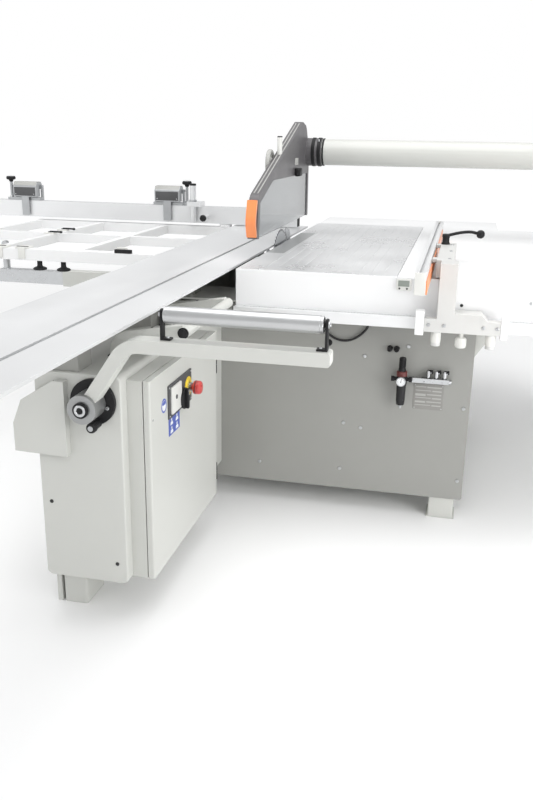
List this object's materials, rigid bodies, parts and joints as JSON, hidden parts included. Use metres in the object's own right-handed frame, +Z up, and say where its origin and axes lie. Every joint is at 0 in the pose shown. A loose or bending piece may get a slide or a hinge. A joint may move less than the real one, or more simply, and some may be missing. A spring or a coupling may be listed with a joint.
{
  "type": "panel saw",
  "caption": "Sliding-table panel saw with tilting blade, overhead guard, rip and crosscut fences, outrigger and a swing-down loading roller arm.",
  "frame": {"origin": "on the floor under the saw arbor's middle, at the bottom of the middle levelling foot", "axes": "+X towards the rip-fence side, +Y along the feed away from the operator, +Z up"},
  "size_m": [3.37, 3.76, 1.359],
  "materials": {
    "base_paint": "fine orange-peel paint, warm light grey",
    "panel_paint": "fine orange-peel paint, mid grey",
    "arm_paint": "satin off-white paint",
    "white_sheet": "satin white paint",
    "cast_table": "milled and ground",
    "anodised": "clear anodised, brushed along its length",
    "roller_metal": "satin turned",
    "steel": "bright steel",
    "blade_steel": "ground saw steel",
    "cast_inner": "painted castings",
    "motor_paint": "dark grey motor enamel",
    "black_plastic": "fine moulded grain",
    "dark_frame": "dark grey satin paint",
    "clear_panel": "clear and smoked polycarbonate",
    "orange_plastic": "moulded",
    "red_plastic": "moulded",
    "dark_insert": "fine texture",
    "rubber_black": "ribbed belt",
    "fixture_metal": "cast fittings"
  },
  "bodies": {
    "machine": {"main_cabinet": "base_paint", "dust_port": "fixture_metal", "front_panel": "panel_paint", "cabinet_feet": "base_paint", "base_column": "base_paint", "column_feet": "base_paint", "left_cover": "base_paint", "slide_beam": "steel", "electrical_box": "base_paint", "main_table": "cast_table", "table_insert": "dark_insert", "table_apron": "white_sheet", "extension_tables": "white_sheet", "support_brackets": "base_paint", "fence_rail": "anodised", "guard_post": "base_paint", "guard_boom": "white_sheet", "arm_flange": "black_plastic", "brace_frame": "arm_paint", "regulator": "black_plastic", "manifold": "steel", "cable_glands": "black_plastic", "sensor_cable": "rubber_black"},
    "carriage": {"sliding_carriage": "anodised", "outrigger_frame": "white_sheet", "outrigger_knobs": "black_plastic"},
    "roller_wagon": {"roller_cage": "steel"},
    "crosscut": {"crosscut_fence": "anodised"},
    "stop_inner": {"stop_slider_inner": "anodised"},
    "stop_outer": {"stop_slider_outer": "anodised"},
    "flap_inner": {"stop_flap_inner": "black_plastic"},
    "flap_outer": {"stop_flap_outer": "black_plastic"},
    "swing": {"swing_arm": "base_paint"},
    "telescope": {"swing_telescope": "steel"},
    "rip_carriage": {"fence_carriage": "dark_frame"},
    "rip_profile": {"rip_fence": "anodised"},
    "rip_lever": {"fence_lever": "black_plastic"},
    "rip_knob": {"fence_adjust_knob": "black_plastic"},
    "guard": {"guard_frame": "dark_frame", "guard_window": "clear_panel", "guard_nose": "orange_plastic"},
    "guard_clamp": {"guard_knob": "black_plastic"},
    "tilt_unit": {"tilt_frame": "cast_inner"},
    "scorer": {"scoring_blade": "blade_steel"},
    "saw_unit": {"saw_slide": "cast_inner", "riving_knife": "blade_steel", "saw_motor": "motor_paint", "drive_belt": "rubber_black"},
    "arbor": {"saw_arbor": "steel", "saw_blade": "blade_steel"},
    "motor_shaft": {"motor_pulley": "steel"},
    "arm": {"loading_arm": "arm_paint", "roller_brackets": "dark_frame"},
    "arm_roller": {"support_roller": "roller_metal"},
    "arm_index": {"index_knob": "black_plastic"},
    "door": {"box_door": "base_paint", "operator_plate": "black_plastic"},
    "isolator": {"main_switch": "black_plastic"},
    "stop_button": {"estop_button": "red_plastic"},
    "air_knob": {"regulator_knob": "black_plastic"}
  },
  "joints": [
    {"name": "carriage_travel", "type": "slide", "parent": "machine", "child": "carriage", "axis": [0, 1, 0], "range_m": [-0.5, 1.2]},
    {"name": "roller_wagon_travel", "type": "slide", "parent": "machine", "child": "roller_wagon", "axis": [0, 1, 0], "range_m": [-0.25, 0.6]},
    {"name": "crosscut_mitre", "type": "hinge", "parent": "carriage", "child": "crosscut", "pos_m": [-0.4, 0.582, 0.9], "axis": [0, 0, 1], "range_deg": [0, 45]},
    {"name": "stop_inner_slide", "type": "slide", "parent": "crosscut", "child": "stop_inner", "axis": [1, 0, 0], "range_m": [-0.3, 0]},
    {"name": "stop_outer_slide", "type": "slide", "parent": "crosscut", "child": "stop_outer", "axis": [1, 0, 0], "range_m": [-0.25, 0.2]},
    {"name": "flap_inner_flip", "type": "hinge", "parent": "stop_inner", "child": "flap_inner", "pos_m": [-0.688, 0.596, 1.0335], "axis": [-1, 0, 0], "range_deg": [0, 110]},
    {"name": "flap_outer_flip", "type": "hinge", "parent": "stop_outer", "child": "flap_outer", "pos_m": [-1.448, 0.596, 1.0335], "axis": [-1, 0, 0], "range_deg": [0, 110]},
    {"name": "swing_arm_turn", "type": "hinge", "parent": "machine", "child": "swing", "pos_m": [-0.352, 0.067, 0.67], "axis": [0, 0, 1], "range_deg": [-52, 22]},
    {"name": "swing_extend", "type": "slide", "parent": "swing", "child": "telescope", "axis": [-1, 0, 0], "range_m": [0, 0.3]},
    {"name": "rip_fence_travel", "type": "slide", "parent": "machine", "child": "rip_carriage", "axis": [1, 0, 0], "range_m": [-0.45, 0.5]},
    {"name": "rip_profile_slide", "type": "slide", "parent": "rip_carriage", "child": "rip_profile", "axis": [0, 1, 0], "range_m": [-0.25, 0.25]},
    {"name": "rip_lever_turn", "type": "hinge", "parent": "rip_carriage", "child": "rip_lever", "pos_m": [0.676, -0.305, 0.96], "axis": [0, 0, 1], "range_deg": [-40, 60]},
    {"name": "rip_knob_turn", "type": "hinge", "parent": "rip_carriage", "child": "rip_knob", "pos_m": [0.755, -0.781, 0.7], "axis": [0, 0, 1], "continuous": true},
    {"name": "guard_lift", "type": "hinge", "parent": "machine", "child": "guard", "pos_m": [0.02, 0.456, 1.233], "axis": [-1, 0, 0], "range_deg": [0, 40]},
    {"name": "guard_knob_turn", "type": "hinge", "parent": "guard", "child": "guard_clamp", "pos_m": [-0.03, -0.1, 1.198], "axis": [1, 0, 0], "continuous": true},
    {"name": "blade_tilt", "type": "hinge", "parent": "machine", "child": "tilt_unit", "pos_m": [0, 0, 0.878], "axis": [0, 1, 0], "range_deg": [0, 45]},
    {"name": "scorer_spin", "type": "hinge", "parent": "tilt_unit", "child": "scorer", "pos_m": [0, -0.225, 0.82], "axis": [1, 0, 0], "continuous": true},
    {"name": "blade_rise", "type": "slide", "parent": "tilt_unit", "child": "saw_unit", "axis": [0, 0, 1], "range_m": [-0.07, 0.01]},
    {"name": "blade_spin", "type": "hinge", "parent": "saw_unit", "child": "arbor", "pos_m": [0, 0, 0.7775], "axis": [1, 0, 0], "continuous": true},
    {"name": "motor_spin", "type": "hinge", "parent": "saw_unit", "child": "motor_shaft", "pos_m": [0.11, 0, 0.575], "axis": [1, 0, 0], "continuous": true},
    {"name": "arm_swing", "type": "hinge", "parent": "machine", "child": "arm", "pos_m": [-0.15, -1.575, 0.65], "axis": [0, 1, 0], "range_deg": [0, 90]},
    {"name": "roller_spin", "type": "hinge", "parent": "arm", "child": "arm_roller", "pos_m": [0.253, -1.575, 0.897], "axis": [1, 0, 0], "continuous": true},
    {"name": "index_pull", "type": "slide", "parent": "machine", "child": "arm_index", "axis": [0, -1, 0], "range_m": [0, 0.01], "stiffness_N_per_m": 600, "springref_m": -0.004},
    {"name": "door_swing", "type": "hinge", "parent": "machine", "child": "door", "pos_m": [-0.021, -0.885, 0.4], "axis": [0, 0, 1], "range_deg": [0, 90]},
    {"name": "isolator_turn", "type": "hinge", "parent": "door", "child": "isolator", "pos_m": [0.002, -1.249, 0.584], "axis": [1, 0, 0], "range_deg": [0, 90]},
    {"name": "stop_push", "type": "slide", "parent": "door", "child": "stop_button", "axis": [-1, 0, 0], "range_m": [0, 0.005], "stiffness_N_per_m": 800, "springref_m": -0.004},
    {"name": "air_knob_turn", "type": "hinge", "parent": "machine", "child": "air_knob", "pos_m": [0.572, -0.655, 0.575], "axis": [0, 0, 1], "continuous": true}
  ],
  "couplings": [
    {"joint": "roller_wagon_travel", "follows": "carriage_travel", "ratio": 0.5},
    {"joint": "swing_arm_turn", "follows": "carriage_travel", "rad_per_m": -0.75},
    {"joint": "motor_spin", "follows": "blade_spin", "ratio": 0.76}
  ]
}
